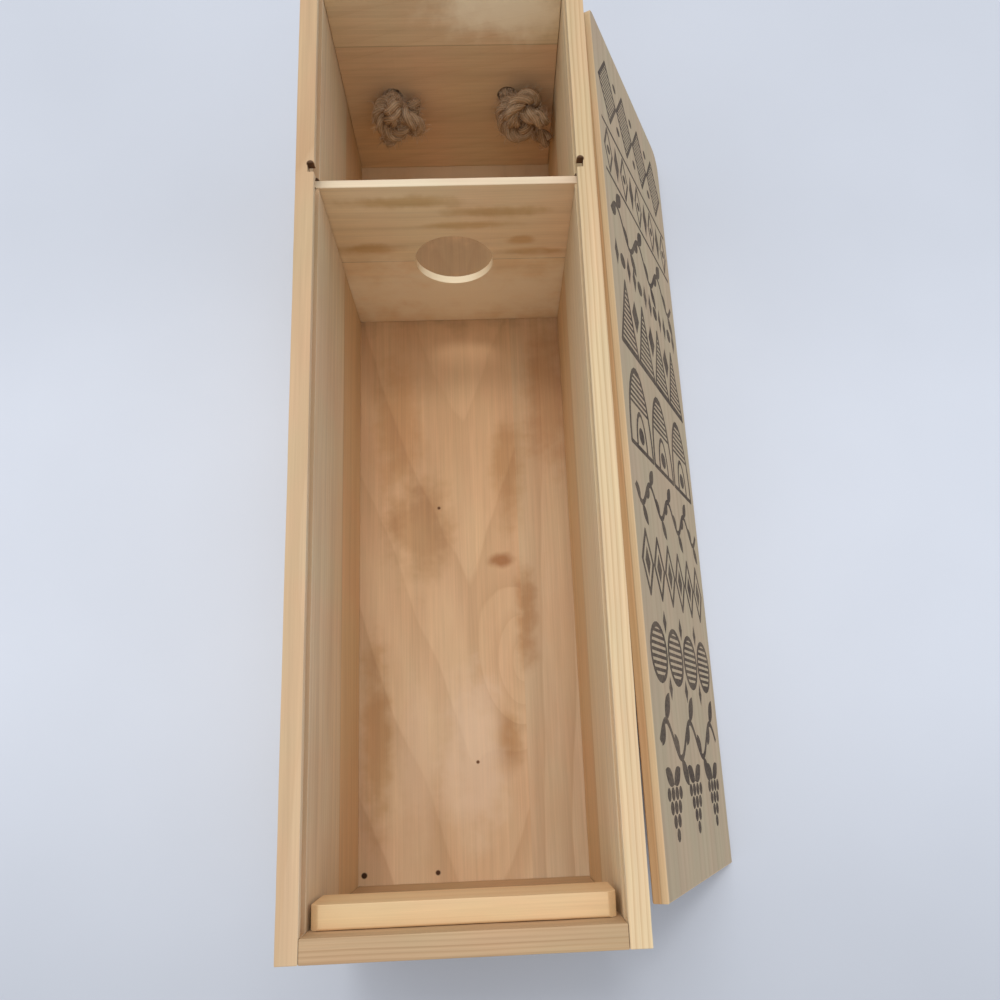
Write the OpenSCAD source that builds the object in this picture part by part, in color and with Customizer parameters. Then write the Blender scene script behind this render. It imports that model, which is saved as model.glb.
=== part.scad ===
// Single-bottle wine box of pine boards, lying open on its back, with its sliding lid taken off and leaning
// against its right side. The length runs along Y, foot end at -Y, and the open side faces +Z.
// The origin is the middle of the back panel's outer face. Millimetres.

/* [Box] */
// Outside width
box_w = 108; // [95:0.5:140]
// Outside length
box_len = 356; // [330:1:400]
// Height of the side boards above the back panel
wall_h = 103; // [85:0.5:120]
// Thickness of the back panel
back_t = 5; // [3:0.5:9]
// Thickness of the side boards
side_t = 6.8; // [6:0.1:10]
// Thickness of the foot board
foot_t = 7.2; // [5:0.1:12]
// Thickness of the head board
head_t = 7.2; // [5:0.1:12]

/* [Lid] */
// Thickness of the lid
lid_t = 5.4; // [3:0.1:7]
// Height of the wood left above the grooves
lip_h = 3.2; // [2:0.1:6]
// Depth of the groove in each side board
groove_d = 2.6; // [1.5:0.1:3.5]
// Play of the lid in the groove, on each face it slides by
lid_play = 0.4; // [0.2:0.1:1]
// Length by which the lid covers the top of the head board
lid_cover = 3.2; // [0:0.1:5]
// Radius of the lid's rounded head corner, at its right
lid_right_r = 9; // [2:0.5:20]
// Radius of the lid's other head corner
lid_left_r = 4; // [0.5:0.5:20]
// Angle of the leaning lid from upright
lid_lean = 26.8; // [10:0.1:45]
// Turn of the leaning lid away from the box at its foot end
lid_turn = 0.6; // [0:0.1:2]
// Distance of the leaning lid from the plane of the foot end
lid_set_back = 9.2; // [0:0.1:20]

/* [Divider] */
// Clear length of the bottle compartment, from the foot block to the divider
bottle_len = 247.3; // [230:0.1:260]
// Thickness of the divider
divider_t = 3.4; // [3:0.1:8]
// Depth of the slots that hold the divider in the side boards
slot_d = 2.4; // [1.5:0.1:4]
// Play of the divider in its slots
slot_play = 0.2; // [0.1:0.05:0.5]
// Diameter of the hole for the neck of the bottle
neck_d = 33; // [30:0.5:45]
// Height of the neck hole's centre above the back panel
neck_h = 47.7; // [35:0.1:60]

/* [Foot block] */
// Thickness of the block glued to the inside of the foot board
block_t = 7.5; // [5:0.1:15]
// Height of the block
block_h = 20; // [12:0.5:60]
// Gap at the left end of the block
block_left_gap = 0.9; // [0.3:0.1:3]
// Gap at the right end of the block
block_right_gap = 1.6; // [0.3:0.1:3]
// Chamfer on the ends of the block
block_bevel = 2.6; // [0.3:0.1:4]
// Chamfer on the block's top edge next to the foot board
block_edge = 0.6; // [0.3:0.1:2]

/* [Rope handle] */
// Diameter of the rope
rope_d = 8; // [5:0.5:10]
// Clearance around the rope in its holes, across the diameter
rope_play = 1; // [0.5:0.1:2]
// Distance of the rope's holes from the side boards, to their middle
rope_inset = 21.2; // [20:0.1:30]
// Diameter of the body of each knot
knot_d = 21; // [17:0.5:26]

/* [Nails] */
// Diameter of the nail shanks
nail_d = 1.4; // [1:0.1:2]
// Length of the nails, head included
nail_len = 21; // [15:0.5:26]
// Diameter of the nail heads
nail_head_d = 2.6; // [2:0.1:3.5]
// Thickness of the nail heads
nail_head_t = 0.8; // [0.5:0.1:1.2]
// Depth of the nail heads below the wood
nail_sink = 0.2; // [0.1:0.05:0.5]
// Distance of the outer nails from the ends of a row
nail_margin = 18; // [12:1:25]

/* [Hidden] */
$fn = 48;
cut = 1;
seat = 0.3;

groove_h = lid_t + lid_play;
ledge_h = wall_h - lip_h - groove_h;
inner_w = box_w - 2 * side_t;
half_len = box_len / 2;
foot_in = -half_len + foot_t;
head_in = half_len - head_t;

divider_y = foot_in + block_t + bottle_len;
divider_w = inner_w + 2 * (slot_d - slot_play);
block_w = inner_w - block_left_gap - block_right_gap;

lid_w = inner_w + 2 * (groove_d - lid_play);
lid_len = head_in - foot_in - lid_play + lid_cover;
lid_reach = lid_w * sin(lid_lean);

nail_play = 0.05;
side_nail_rows = 3;
back_nail_rows = 5;
nail_in = box_w / 2 - side_t / 2;
end_nail_x = inner_w / 4;

rope_hole_d = rope_d + rope_play;
rope_z = 50;
rope_x = inner_w / 2 - rope_inset;
knot_face = head_in - seat;
// The rope's route from the left knot, through its hole and round the loop outside to the loop's middle:
// X as a share of the hole's distance from the middle, Y from the board's face, Z
rope_out = [
    [1, 0, 50], [1, 4, 50], [1, 8, 50], [1, 14, 50], [1.04, 20, 49], [1.08, 27, 47], [1.08, 34, 44.5],
    [1.04, 41, 42], [0.92, 48, 39], [0.77, 54, 37], [0.54, 59, 35.5], [0.27, 62, 35], [0, 63, 35]
];
rope_back = [for (i = [len(rope_out) - 2:-1:0]) [-rope_out[i].x, rope_out[i].y, rope_out[i].z]];
rope_route = [for (p = concat(rope_out, rope_back)) [-rope_x * p.x, knot_face + p.y, p.z]];
rope_sides = 10;
// Middle of each knot, measured along Y from the board's face, and the run of its short end
left_knot_at = [3 - rope_x, -9.5, 49.5];
right_knot_at = [rope_x + 5, -9.5, 48.5];
left_tail = [-8, -6, -14.5];
right_tail = [12.5, -5.5, -15.5];
tail_root = 0.2;
tail_d = 7;

function unit(v) = v / norm(v);
function tangent(route, i) =
    unit(route[min(i + 1, len(route) - 1)] - route[max(i - 1, 0)]);
function ring(route, i, r, n) =
    let(t = i == 0 || i == len(route) - 1 ? [0, sign(tangent(route, i).y), 0] : tangent(route, i),
        u = unit(cross(t, [0, 0, 1])),
        v = cross(u, t))
    [for (k = [0:n - 1]) route[i] + r * (cos(360 * k / n) * u + sin(360 * k / n) * v)];

// A tube along a route, closed at both ends
module tube(route, d, n) {
    rings = len(route);
    points = [for (i = [0:rings - 1]) each ring(route, i, d / 2, n)];
    sides = [
        for (i = [0:rings - 2], k = [0:n - 1])
            let(a = i * n + k, b = i * n + (k + 1) % n)
            each [[a, b, b + n], [a, b + n, a + n]]
    ];
    start = [for (k = [n - 1:-1:0]) k];
    end = [for (k = [0:n - 1]) (rings - 1) * n + k];
    polyhedron(points, concat(sides, [start, end]), convexity = 4);
}

// A nail pointing along +Z, its head at the bottom
module nail(play = 0) {
    sink = play > 0 ? nail_sink : 0;
    cylinder(h = nail_head_t + sink, d = nail_head_d + 2 * play);
    cylinder(h = nail_len + sink + play, d = nail_d + 2 * play);
}

// The nails of the end boards, driven through one side board; the side is -1 or 1
module side_nail_row(side, y, h, play = 0) {
    for (i = [0:side_nail_rows - 1])
        translate([side * (box_w / 2 - (play > 0 ? 0 : nail_sink)), y,
                   back_t + nail_margin + i * (h - 2 * nail_margin) / (side_nail_rows - 1)])
            rotate([0, -90 * side, 0])
                nail(play);
}

module all_side_nails(side, play = 0) {
    side_nail_row(side, -half_len + foot_t / 2, wall_h, play);
    side_nail_row(side, half_len - head_t / 2, ledge_h, play);
}

// The nails of the back panel, up into the side boards and the end boards
module all_back_nails(play = 0) {
    z = play > 0 ? 0 : nail_sink;
    step = (box_len - 2 * nail_margin) / (back_nail_rows - 1);
    for (side = [-1, 1]) {
        for (i = [0:back_nail_rows - 1])
            translate([side * nail_in, -half_len + nail_margin + i * step, z])
                nail(play);
        for (y = [-half_len + foot_t / 2, half_len - head_t / 2])
            translate([side * end_nail_x, y, z])
                nail(play);
    }
}

// A side board, with the lid's groove and the divider's slot on its inner face; the side is -1 or 1
module side_board(side) {
    face = inner_w / 2;
    difference() {
        translate([side > 0 ? face : -box_w / 2, -half_len, back_t])
            cube([side_t, box_len, wall_h]);
        // groove, open at the head end
        translate([side > 0 ? face - cut : -face - groove_d, foot_in, back_t + ledge_h])
            cube([groove_d + cut, head_in - foot_in + head_t + cut, groove_h]);
        // slot of the divider, open at the top
        translate([side > 0 ? face - cut : -face - slot_d, divider_y - slot_play, back_t - cut])
            cube([slot_d + cut, divider_t + 2 * slot_play, wall_h + 2 * cut]);
        all_side_nails(side, nail_play);
        all_back_nails(nail_play);
    }
}

module left_side_board() { color("burlywood") side_board(-1); }

module right_side_board() { color("burlywood") side_board(1); }

module back_panel() {
    color("tan")
    difference() {
        translate([-box_w / 2, -half_len, 0])
            cube([box_w, box_len, back_t]);
        all_back_nails(nail_play);
    }
}

module foot_board() {
    color("peru")
    difference() {
        translate([-inner_w / 2, -half_len, back_t])
            cube([inner_w, foot_t, wall_h]);
        for (side = [-1, 1])
            all_side_nails(side, nail_play);
        all_back_nails(nail_play);
    }
}

// The head board ends at the ledge of the grooves, so that the lid passes over it
module head_board() {
    color("sienna")
    difference() {
        translate([-inner_w / 2, head_in, back_t])
            cube([inner_w, head_t, ledge_h]);
        for (side = [-1, 1])
            translate([side * rope_x, head_in - cut, rope_z])
                rotate([-90, 0, 0])
                    cylinder(h = head_t + 2 * cut, d = rope_hole_d);
        for (side = [-1, 1])
            all_side_nails(side, nail_play);
        all_back_nails(nail_play);
    }
}

// The block under the lid, at the top of the foot board's inner face, bevelled at its ends
module foot_block() {
    color("wheat")
    translate([block_left_gap - inner_w / 2, foot_in, back_t + ledge_h - block_h])
        intersection() {
            rotate([90, 0, 90])
                linear_extrude(block_w)
                    polygon([[0, 0], [block_t, 0], [block_t, block_h], [block_edge, block_h],
                             [0, block_h - block_edge]]);
            translate([0, block_t, 0])
                rotate([90, 0, 0])
                    linear_extrude(block_t)
                        polygon([[0, 0], [block_w, 0], [block_w, block_h - block_bevel],
                                 [block_w - block_bevel, block_h], [block_bevel, block_h],
                                 [0, block_h - block_bevel]]);
        }
}

module divider() {
    color("goldenrod")
    difference() {
        translate([-divider_w / 2, divider_y, back_t])
            cube([divider_w, divider_t, ledge_h]);
        translate([0, divider_y - cut, back_t + neck_h])
            rotate([-90, 0, 0])
                cylinder(h = divider_t + 2 * cut, d = neck_d);
    }
}

// The lid lying flat, its underside at Z = 0 and its foot end at Y = 0, with its two head corners rounded
module lid_flat() {
    linear_extrude(lid_t)
        union() {
            translate([-lid_w / 2, 0])
                square([lid_w, lid_len - max(lid_right_r, lid_left_r)]);
            translate([-lid_w / 2 + lid_left_r, 0])
                square([lid_w - lid_left_r - lid_right_r, lid_len]);
            translate([-lid_w / 2, 0])
                square([2 * lid_left_r, lid_len - lid_left_r]);
            translate([lid_w / 2 - 2 * lid_right_r, 0])
                square([2 * lid_right_r, lid_len - lid_right_r]);
            translate([-lid_w / 2 + lid_left_r, lid_len - lid_left_r])
                circle(lid_left_r);
            translate([lid_w / 2 - lid_right_r, lid_len - lid_right_r])
                circle(lid_right_r);
        }
}

// The lid, standing on its right edge and leaning with its left edge against the right side board
module lid() {
    color("rosybrown")
    translate([box_w / 2 + seat + lid_reach, -half_len + lid_set_back + lid_len, 0])
        rotate([0, 0, lid_turn])
            translate([0, -lid_len, 0])
                rotate([0, 90 - lid_lean, 0])
                    translate([-lid_w / 2, 0, 0])
                        lid_flat();
}

module rope_handle() {
    color("darkkhaki")
    tube(rope_route, rope_d, rope_sides);
}

// A knot with its flat side against the head board, and the rope's short end hanging from it
module knot(at, tail) {
    translate([at.x, knot_face + at.y, at.z]) {
        rotate([-90, 0, 0])
            rotate_extrude()
                intersection() {
                    circle(d = knot_d);
                    translate([0, -knot_d])
                        square([knot_d, knot_d - at.y]);
                }
        translate(tail_root * tail)
            rotate([0, acos(tail.z / norm(tail)), atan2(tail.y, tail.x)])
                cylinder(h = (1 - tail_root) * norm(tail), d = tail_d);
    }
}

module left_knot() { color("tan") knot(left_knot_at, left_tail); }

module right_knot() { color("tan") knot(right_knot_at, right_tail); }

module side_nails() {
    color("slategray")
    for (side = [-1, 1])
        all_side_nails(side);
}

module back_nails() {
    color("slategray")
    all_back_nails();
}

left_side_board();
right_side_board();
back_panel();
foot_board();
head_board();
foot_block();
divider();
lid();
rope_handle();
left_knot();
right_knot();
side_nails();
back_nails();
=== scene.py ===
"""A single-bottle wine box of pine, open on its back, its printed lid leaning against its right side."""

import math

import bmesh
import bpy
from mathutils import Euler, Matrix, Vector, noise
from mathutils.geometry import delaunay_2d_cdt


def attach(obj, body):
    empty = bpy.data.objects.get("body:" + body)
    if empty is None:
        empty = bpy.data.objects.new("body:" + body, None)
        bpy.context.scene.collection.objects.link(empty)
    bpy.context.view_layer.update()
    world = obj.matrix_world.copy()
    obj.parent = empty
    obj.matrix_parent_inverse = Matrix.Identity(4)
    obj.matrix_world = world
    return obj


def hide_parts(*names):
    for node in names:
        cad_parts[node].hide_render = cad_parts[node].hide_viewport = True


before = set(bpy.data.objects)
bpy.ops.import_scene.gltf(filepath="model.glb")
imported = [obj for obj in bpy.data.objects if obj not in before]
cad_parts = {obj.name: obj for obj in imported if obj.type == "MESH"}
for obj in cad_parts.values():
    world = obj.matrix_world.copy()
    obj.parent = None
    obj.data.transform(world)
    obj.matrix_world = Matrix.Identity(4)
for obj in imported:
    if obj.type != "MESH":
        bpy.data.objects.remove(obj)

bl_info = {
    "name": "Wooden Wine Box",
    "version": (1, 0, 0),
    "blender": (4, 5, 0),
    "location": "View3D > Sidebar > Wine Box",
    "description": "Builds the pine boards, the printed lid, the rope handle and the stage of a wine box",
    "category": "Object",
}

MM = 0.001

# The box as the part's source has it, in metres
HALF_WIDTH = 0.054
HALF_LENGTH = 0.178
SEAT = 0.0003
LID_SET_BACK = 0.0092
HOLE_X, HOLE_Z = 0.026, 0.050
KNOT_FACE = 0.1705
ENTRY_Y = 0.1706
# In millimetres
LID_RIGHT_RADIUS, LID_LEFT_RADIUS = 9.0, 4.0
HATCH_GAP, HATCH_LINE = 2.3, 1.25
# Pace of the noise in the wood, per metre
FIBRE_ALONG, FIBRE_ACROSS = 26.0, 1500.0
STREAK_ALONG, STREAK_ACROSS = 9.0, 260.0
CLOUD_ALONG, CLOUD_ACROSS = 14.0, 45.0


# Materials


class Tree:
    """Builds a shader node tree, one call for each node."""

    def __init__(self, name):
        self.material = bpy.data.materials.new(name)
        self.material.use_nodes = True
        self.tree = self.material.node_tree
        self.tree.nodes.clear()

    def node(self, kind, **settings):
        made = self.tree.nodes.new(kind)
        for key, value in settings.items():
            setattr(made, key, value)
        return made

    def put(self, socket, value):
        if isinstance(value, bpy.types.NodeSocket):
            self.tree.links.new(value, socket)
        elif value is not None:
            socket.default_value = value

    def math(self, operation, a, b=None, c=None, clamp=False):
        made = self.node("ShaderNodeMath", operation=operation, use_clamp=clamp)
        for socket, value in zip(made.inputs, (a, b, c)):
            self.put(socket, value)
        return made.outputs[0]

    def add(self, a, b):
        return self.math("ADD", a, b)

    def sub(self, a, b):
        return self.math("SUBTRACT", a, b)

    def mul(self, a, b):
        return self.math("MULTIPLY", a, b)

    def length(self, a, b):
        return self.math("SQRT", self.add(self.mul(a, a), self.mul(b, b)))

    def stretched(self, along, across, deep, u, v, w):
        """A noise path that runs at one pace along the grain and at another across it."""
        return self.vector(self.mul(u, along), self.mul(v, across), self.mul(w, deep))

    def vector(self, x, y, z):
        made = self.node("ShaderNodeCombineXYZ")
        for socket, value in zip(made.inputs, (x, y, z)):
            self.put(socket, value)
        return made.outputs[0]

    def split(self, vector):
        made = self.node("ShaderNodeSeparateXYZ")
        self.put(made.inputs[0], vector)
        return made.outputs[0], made.outputs[1], made.outputs[2]

    def noise(self, vector, scale=1.0, detail=2.0, rough=0.5, distortion=0.0):
        made = self.node("ShaderNodeTexNoise")
        self.put(made.inputs["Vector"], vector)
        made.inputs["Scale"].default_value = scale
        made.inputs["Detail"].default_value = detail
        made.inputs["Roughness"].default_value = rough
        made.inputs["Distortion"].default_value = distortion
        return made.outputs["Fac"]

    def ramp(self, value, stops):
        made = self.node("ShaderNodeValToRGB")
        self.put(made.inputs[0], value)
        ramp = made.color_ramp
        while len(ramp.elements) < len(stops):
            ramp.elements.new(0.5)
        for element, (place, colour) in zip(ramp.elements, stops):
            element.position = place
            if isinstance(colour, (int, float)):
                colour = (colour, colour, colour, 1.0)
            element.color = colour
        return made.outputs[0]

    def mix(self, factor, a, b, blend="MIX"):
        made = self.node("ShaderNodeMix", data_type="RGBA", blend_type=blend)
        self.put(made.inputs[0], factor)
        self.put(made.inputs[6], a)
        self.put(made.inputs[7], b)
        return made.outputs[2]

    def range(self, value, low, high, to_low=0.0, to_high=1.0, smooth=False):
        made = self.node("ShaderNodeMapRange", clamp=True)
        if smooth:
            made.interpolation_type = "SMOOTHSTEP"
        for socket, number in zip(made.inputs, (value, low, high, to_low, to_high)):
            self.put(socket, number)
        return made.outputs[0]

    def finish(self, colour, roughness, height=None, bump=0.2, distance=0.0003, specular=0.3):
        shader = self.node("ShaderNodeBsdfPrincipled")
        self.put(shader.inputs["Base Color"], colour)
        self.put(shader.inputs["Roughness"], roughness)
        shader.inputs["Specular IOR Level"].default_value = specular
        if height is not None:
            relief = self.node("ShaderNodeBump")
            relief.inputs["Strength"].default_value = bump
            relief.inputs["Distance"].default_value = distance
            self.put(relief.inputs["Height"], height)
            self.tree.links.new(relief.outputs[0], shader.inputs["Normal"])
        output = self.node("ShaderNodeOutputMaterial")
        self.tree.links.new(shader.outputs[0], output.inputs[0])
        return self.material


def srgb(text):
    """A colour written as six hexadecimal digits, as linear numbers."""
    values = [int(text[i : i + 2], 16) / 255 for i in (0, 2, 4)]
    linear = [v / 12.92 if v <= 0.04045 else ((v + 0.055) / 1.055) ** 2.4 for v in values]
    return (*linear, 1.0)


def wood_coordinates(t, source, grain):
    """Coordinates in metres as (along the grain, across it, across it)."""
    if source == "OBJECT":
        place = t.node("ShaderNodeTexCoord").outputs["Object"]
    else:
        place = t.node("ShaderNodeAttribute", attribute_name=source).outputs["Vector"]
    x, y, z = t.split(place)
    return {"Y": (y, x, z), "X": (x, y, z), "Z": (z, x, y)}[grain]


def arch_phase(t, arch, u, v, wander, wander_fine):
    """Rings of a flat-sawn board: nested pointed arches along the grain, and hills that close into eyes."""
    side = t.sub(v, arch["apex"][0])
    side = t.math("SQRT", t.add(t.mul(side, side), arch["blunt"] ** 2))
    phase = t.sub(t.sub(u, arch["apex"][1]), t.mul(side, arch["slope"]))
    phase = t.mul(phase, 1.0 / arch["pitch"])
    for hill_v, hill_u, reach_v, reach_u, lift in arch["hills"]:
        dv = t.mul(t.sub(v, hill_v), 1.0 / reach_v)
        du = t.mul(t.sub(u, hill_u), 1.0 / reach_u)
        square = t.add(t.mul(du, du), t.mul(dv, dv))
        hill = t.math("EXPONENT", t.mul(square, -1.0))
        phase = t.add(phase, t.mul(hill, lift))
    phase = t.add(phase, t.mul(wander, arch["wander"]))
    return t.add(phase, t.mul(wander_fine, arch["ripple"]))


def wood_colour(t, spec):
    """Colour and height of sawn pine: rings about a pith, fibres along the grain, and stains, with painted
    light on faces turned one way and painted shade graded along the grain.
    """
    u, v, w = wood_coordinates(t, spec.get("source", "OBJECT"), spec.get("grain", "Y"))
    seed = spec.get("seed", 0.0)
    run = u
    u = t.add(u, seed)
    upper = None
    if "seam" in spec:
        seam_axis, seam = spec["seam"]
        beside = {"v": v, "w": w}[seam_axis]
        upper = t.range(beside, seam - 0.00005, seam + 0.00005)
        jump_u, jump_v, jump_w = spec.get("jump", (0.37, 0.013, 0.021))
        u = t.add(u, t.mul(upper, jump_u))
        v_ring = t.add(v, t.mul(upper, jump_v))
        w_ring = t.add(w, t.mul(upper, jump_w))
    else:
        v_ring, w_ring = v, w
    slow = t.stretched(5.0, 18.0, 18.0, u, v, w)
    wander = t.sub(t.noise(slow, 1.0, 3.0, 0.5), 0.5)
    fine_path = t.stretched(22.0, 90.0, 90.0, u, v, w)
    wander_fine = t.sub(t.noise(fine_path, 1.0, 2.0, 0.5), 0.5)
    pith_v, pith_w = spec["pith"]
    lean_v, lean_w = spec.get("lean", (0.0, 0.0))
    dv = t.sub(t.sub(v_ring, pith_v), t.mul(u, lean_v))
    dw = t.sub(t.sub(w_ring, pith_w), t.mul(u, lean_w))
    reach = t.length(dv, dw)
    reach = t.add(reach, t.mul(wander, spec.get("wander", 0.006)))
    reach = t.add(reach, t.mul(wander_fine, spec.get("ripple", 0.0008)))
    phase = t.mul(reach, 1.0 / spec["ring"])
    if "arch" in spec:
        phase = t.mul(phase, upper)
        figure = arch_phase(t, spec["arch"], t.sub(u, seed), v, wander, wander_fine)
        figure = t.mul(figure, t.sub(1.0, upper))
        phase = t.add(phase, figure)
    ring = t.math("FRACT", phase)
    late = t.ramp(ring, [(0.0, 0.15), (0.45, 0.1), (0.8, 0.75), (0.93, 1.0), (0.97, 0.2)])
    year = t.noise(t.vector(t.math("FLOOR", phase), 3.1, 0.0), 3.7, 0.0)
    late = t.mul(late, t.range(year, 0.3, 0.7, 0.45, 1.0))
    fibre_path = t.stretched(FIBRE_ALONG, FIBRE_ACROSS, FIBRE_ACROSS, u, v, w)
    fibre = t.noise(fibre_path, 1.0, 3.0, 0.6)
    streak_path = t.stretched(STREAK_ALONG, STREAK_ACROSS, STREAK_ACROSS, u, v, w)
    streak = t.noise(streak_path, 1.0, 2.0, 0.5)
    cloud_path = t.stretched(CLOUD_ALONG, CLOUD_ACROSS, CLOUD_ACROSS, u, v, w)
    cloud = t.noise(cloud_path, 1.0, 3.0, 0.55)
    strength = t.math("MULTIPLY", late, spec.get("contrast", 0.5), clamp=True)
    colour = t.mix(strength, srgb(spec["early"]), srgb(spec["late"]))
    # Painted light: faces turned along the given axis take their own paler colours, as the light falls on
    # them; with a height limit only the top faces do.
    if "face" in spec:
        axis, lit_face_early, lit_face_late = spec["face"]
        normal = t.node("ShaderNodeNewGeometry").outputs["True Normal"]
        along_axis = t.math("ABSOLUTE", t.split(normal)["XYZ".index(axis)])
        lit_face_mask = t.math("GREATER_THAN", along_axis, 0.6)
        if "face_above" in spec:
            lit_face_mask = t.mul(lit_face_mask, t.math("GREATER_THAN", w, spec["face_above"]))
        colour = t.mix(lit_face_mask, colour, t.mix(strength, srgb(lit_face_early), srgb(lit_face_late)))
    if upper is not None:
        for mask, key in ((upper, "upper"), (t.sub(1.0, upper), "lower")):
            if key in spec:
                colour = t.mix(mask, colour, t.mix(1.0, colour, srgb(spec[key]), "MULTIPLY"))
    # Painted shade: the colour is multiplied by a tint graded along the grain, for the light falling off
    # along the board.
    if "grade" in spec:
        low, high, low_end_shade, high_end_shade = spec["grade"]
        share = t.range(run, low, high, smooth=True)
        colour = t.mix(1.0, colour, t.mix(share, srgb(low_end_shade), srgb(high_end_shade)), "MULTIPLY")
    colour = t.mix(
        t.range(cloud, 0.35, 0.7, 0.0, spec.get("cloud", 0.35)), colour, srgb(spec.get("stain", "B98A5C"))
    )
    warm = t.noise(t.vector(t.mul(u, 30.0), t.mul(v, 70.0), w), 1.0, 2.0, 0.5)
    hue = t.mix(t.range(warm, 0.35, 0.65), (1.02, 0.98, 0.96, 1.0), (0.98, 1.01, 0.98, 1.0))
    colour = t.mix(spec.get("hue", 1.0), colour, t.mix(1.0, colour, hue, "MULTIPLY"))
    shade = t.range(fibre, 0.25, 0.75, 1.0 - spec.get("fibre", 0.1), 1.0 + spec.get("fibre", 0.1))
    shade = t.mul(shade, t.range(streak, 0.3, 0.7, 1.0 - spec.get("streak", 0.06), 1.04))
    if upper is not None:
        near = t.math("ABSOLUTE", t.sub(beside, seam))
        joint = spec.get("joint", 0.72)
        shade = t.mul(shade, t.range(near, 0.0001, 0.0004, joint, 1.0))
    colour = t.mix(1.0, colour, t.vector(shade, shade, shade), "MULTIPLY")
    height = t.add(t.mul(fibre, 0.7), t.mul(late, 0.5))
    return colour, height


def spot(t, place, x, y, radius, soft):
    """1 within a radius of a point seen along Z, falling to 0."""
    px, py, _ = t.split(place)
    dx = t.sub(px, x)
    dy = t.sub(py, y)
    away = t.length(dx, dy)
    return t.range(away, radius, radius + soft, 1.0, 0.0, smooth=True)


def patch(t, place, plane, x, y, rx, ry):
    """A soft-edged, wavering oval in the plane of two axes."""
    parts = dict(zip("XYZ", t.split(place)))
    px, py = parts[plane[0]], parts[plane[1]]
    waver = t.sub(t.noise(place, 90.0, 3.0, 0.55), 0.5)
    dx = t.mul(t.sub(px, x), 1.0 / rx)
    dy = t.mul(t.sub(py, y), 1.0 / ry)
    away = t.length(dx, dy)
    away = t.add(away, t.mul(waver, 1.5))
    return t.range(away, 0.3, 1.35, 1.0, 0.0, smooth=True)


def wood_material(name, **spec):
    """Pine, with darker patches, paler washes and round marks laid over its grain; some washes and marks are
    painted light and shade.
    """
    t = Tree(name)
    colour, height = wood_colour(t, spec)
    place = t.node("ShaderNodeTexCoord").outputs["Object"]
    plane = spec.get("plane", "XY")
    for x, y, rx, ry, tone, strength in spec.get("patches", ()):
        mask = t.mul(patch(t, place, plane, x, y, rx, ry), strength)
        colour = t.mix(mask, colour, t.mix(1.0, colour, srgb(tone), "MULTIPLY"))
    for x, y, rx, ry, tone, strength in spec.get("washes", ()):
        mask = t.mul(patch(t, place, plane, x, y, rx, ry), strength)
        colour = t.mix(mask, colour, srgb(tone))
    for x, y, radius, soft, tone in spec.get("spots", ()):
        colour = t.mix(spot(t, place, x, y, radius, soft), colour, srgb(tone))
    return t.finish(colour, spec.get("rough", 0.7), height, spec.get("bump", 0.35), 0.0002)


def printed_material(name, **spec):
    """The lid's wood under worn dark brown ink."""
    t = Tree(name)
    colour, height = wood_colour(t, spec)
    place = t.node("ShaderNodeAttribute", attribute_name=spec["source"]).outputs["Vector"]
    worn = t.noise(place, 900.0, 3.0, 0.6)
    broad = t.noise(place, 60.0, 2.0, 0.5)
    cover = t.add(t.mul(worn, 0.7), t.mul(broad, 0.5))
    cover = t.range(cover, 0.42, 0.78, 1.0, 0.74)
    colour = t.mix(cover, colour, srgb("3C2C20"))
    return t.finish(colour, 0.75, height, 0.3, 0.0002)


def jute_material(name):
    t = Tree(name)
    along = t.node("ShaderNodeAttribute", attribute_name="along").outputs["Fac"]
    around = t.node("ShaderNodeAttribute", attribute_name="around").outputs["Fac"]
    place = t.node("ShaderNodeTexCoord").outputs["Object"]
    twist = t.add(t.mul(around, 9 * math.tau), t.mul(along, -2400.0))
    ridge = t.math("SINE", twist)
    strands = t.vector(t.mul(twist, 2.2), t.mul(along, 160.0), 0.0)
    fine = t.noise(strands, 1.0, 3.0, 0.6)
    broad = t.noise(place, 160.0, 2.0, 0.5)
    tone = t.add(t.mul(fine, 0.6), t.mul(broad, 0.4))
    colour = t.ramp(
        tone, [(0.3, srgb("8E6F52")), (0.45, srgb("BC9A78")), (0.6, srgb("DABD9C")), (0.75, srgb("F2DEC4"))]
    )
    # Painted shade: the grooves between the twisted yarns are darkened.
    groove_shade = t.range(ridge, -1.0, -0.2, 0.68, 1.0)
    colour = t.mix(1.0, colour, t.vector(groove_shade, groove_shade, groove_shade), "MULTIPLY")
    height = t.add(t.mul(ridge, 0.5), fine)
    return t.finish(colour, 0.85, height, 0.6, 0.0005, 0.15)


def hair_material(name):
    t = Tree(name)
    place = t.node("ShaderNodeTexCoord").outputs["Object"]
    tone = t.noise(place, 350.0, 2.0, 0.5)
    colour = t.ramp(tone, [(0.3, srgb("B4947A")), (0.7, srgb("EED8BC"))])
    return t.finish(colour, 0.8, None, specular=0.2)


def steel_material(name):
    t = Tree(name)
    place = t.node("ShaderNodeTexCoord").outputs["Object"]
    grime = t.noise(place, 900.0, 3.0, 0.6)
    colour = t.ramp(grime, [(0.35, srgb("5E5850")), (0.65, srgb("9A958C"))])
    shader_material = t.finish(colour, t.range(grime, 0.3, 0.7, 0.35, 0.6), grime, 0.2, 0.0001, 0.5)
    for node in t.tree.nodes:
        if node.type == "BSDF_PRINCIPLED":
            node.inputs["Metallic"].default_value = 0.9
    return shader_material


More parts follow.
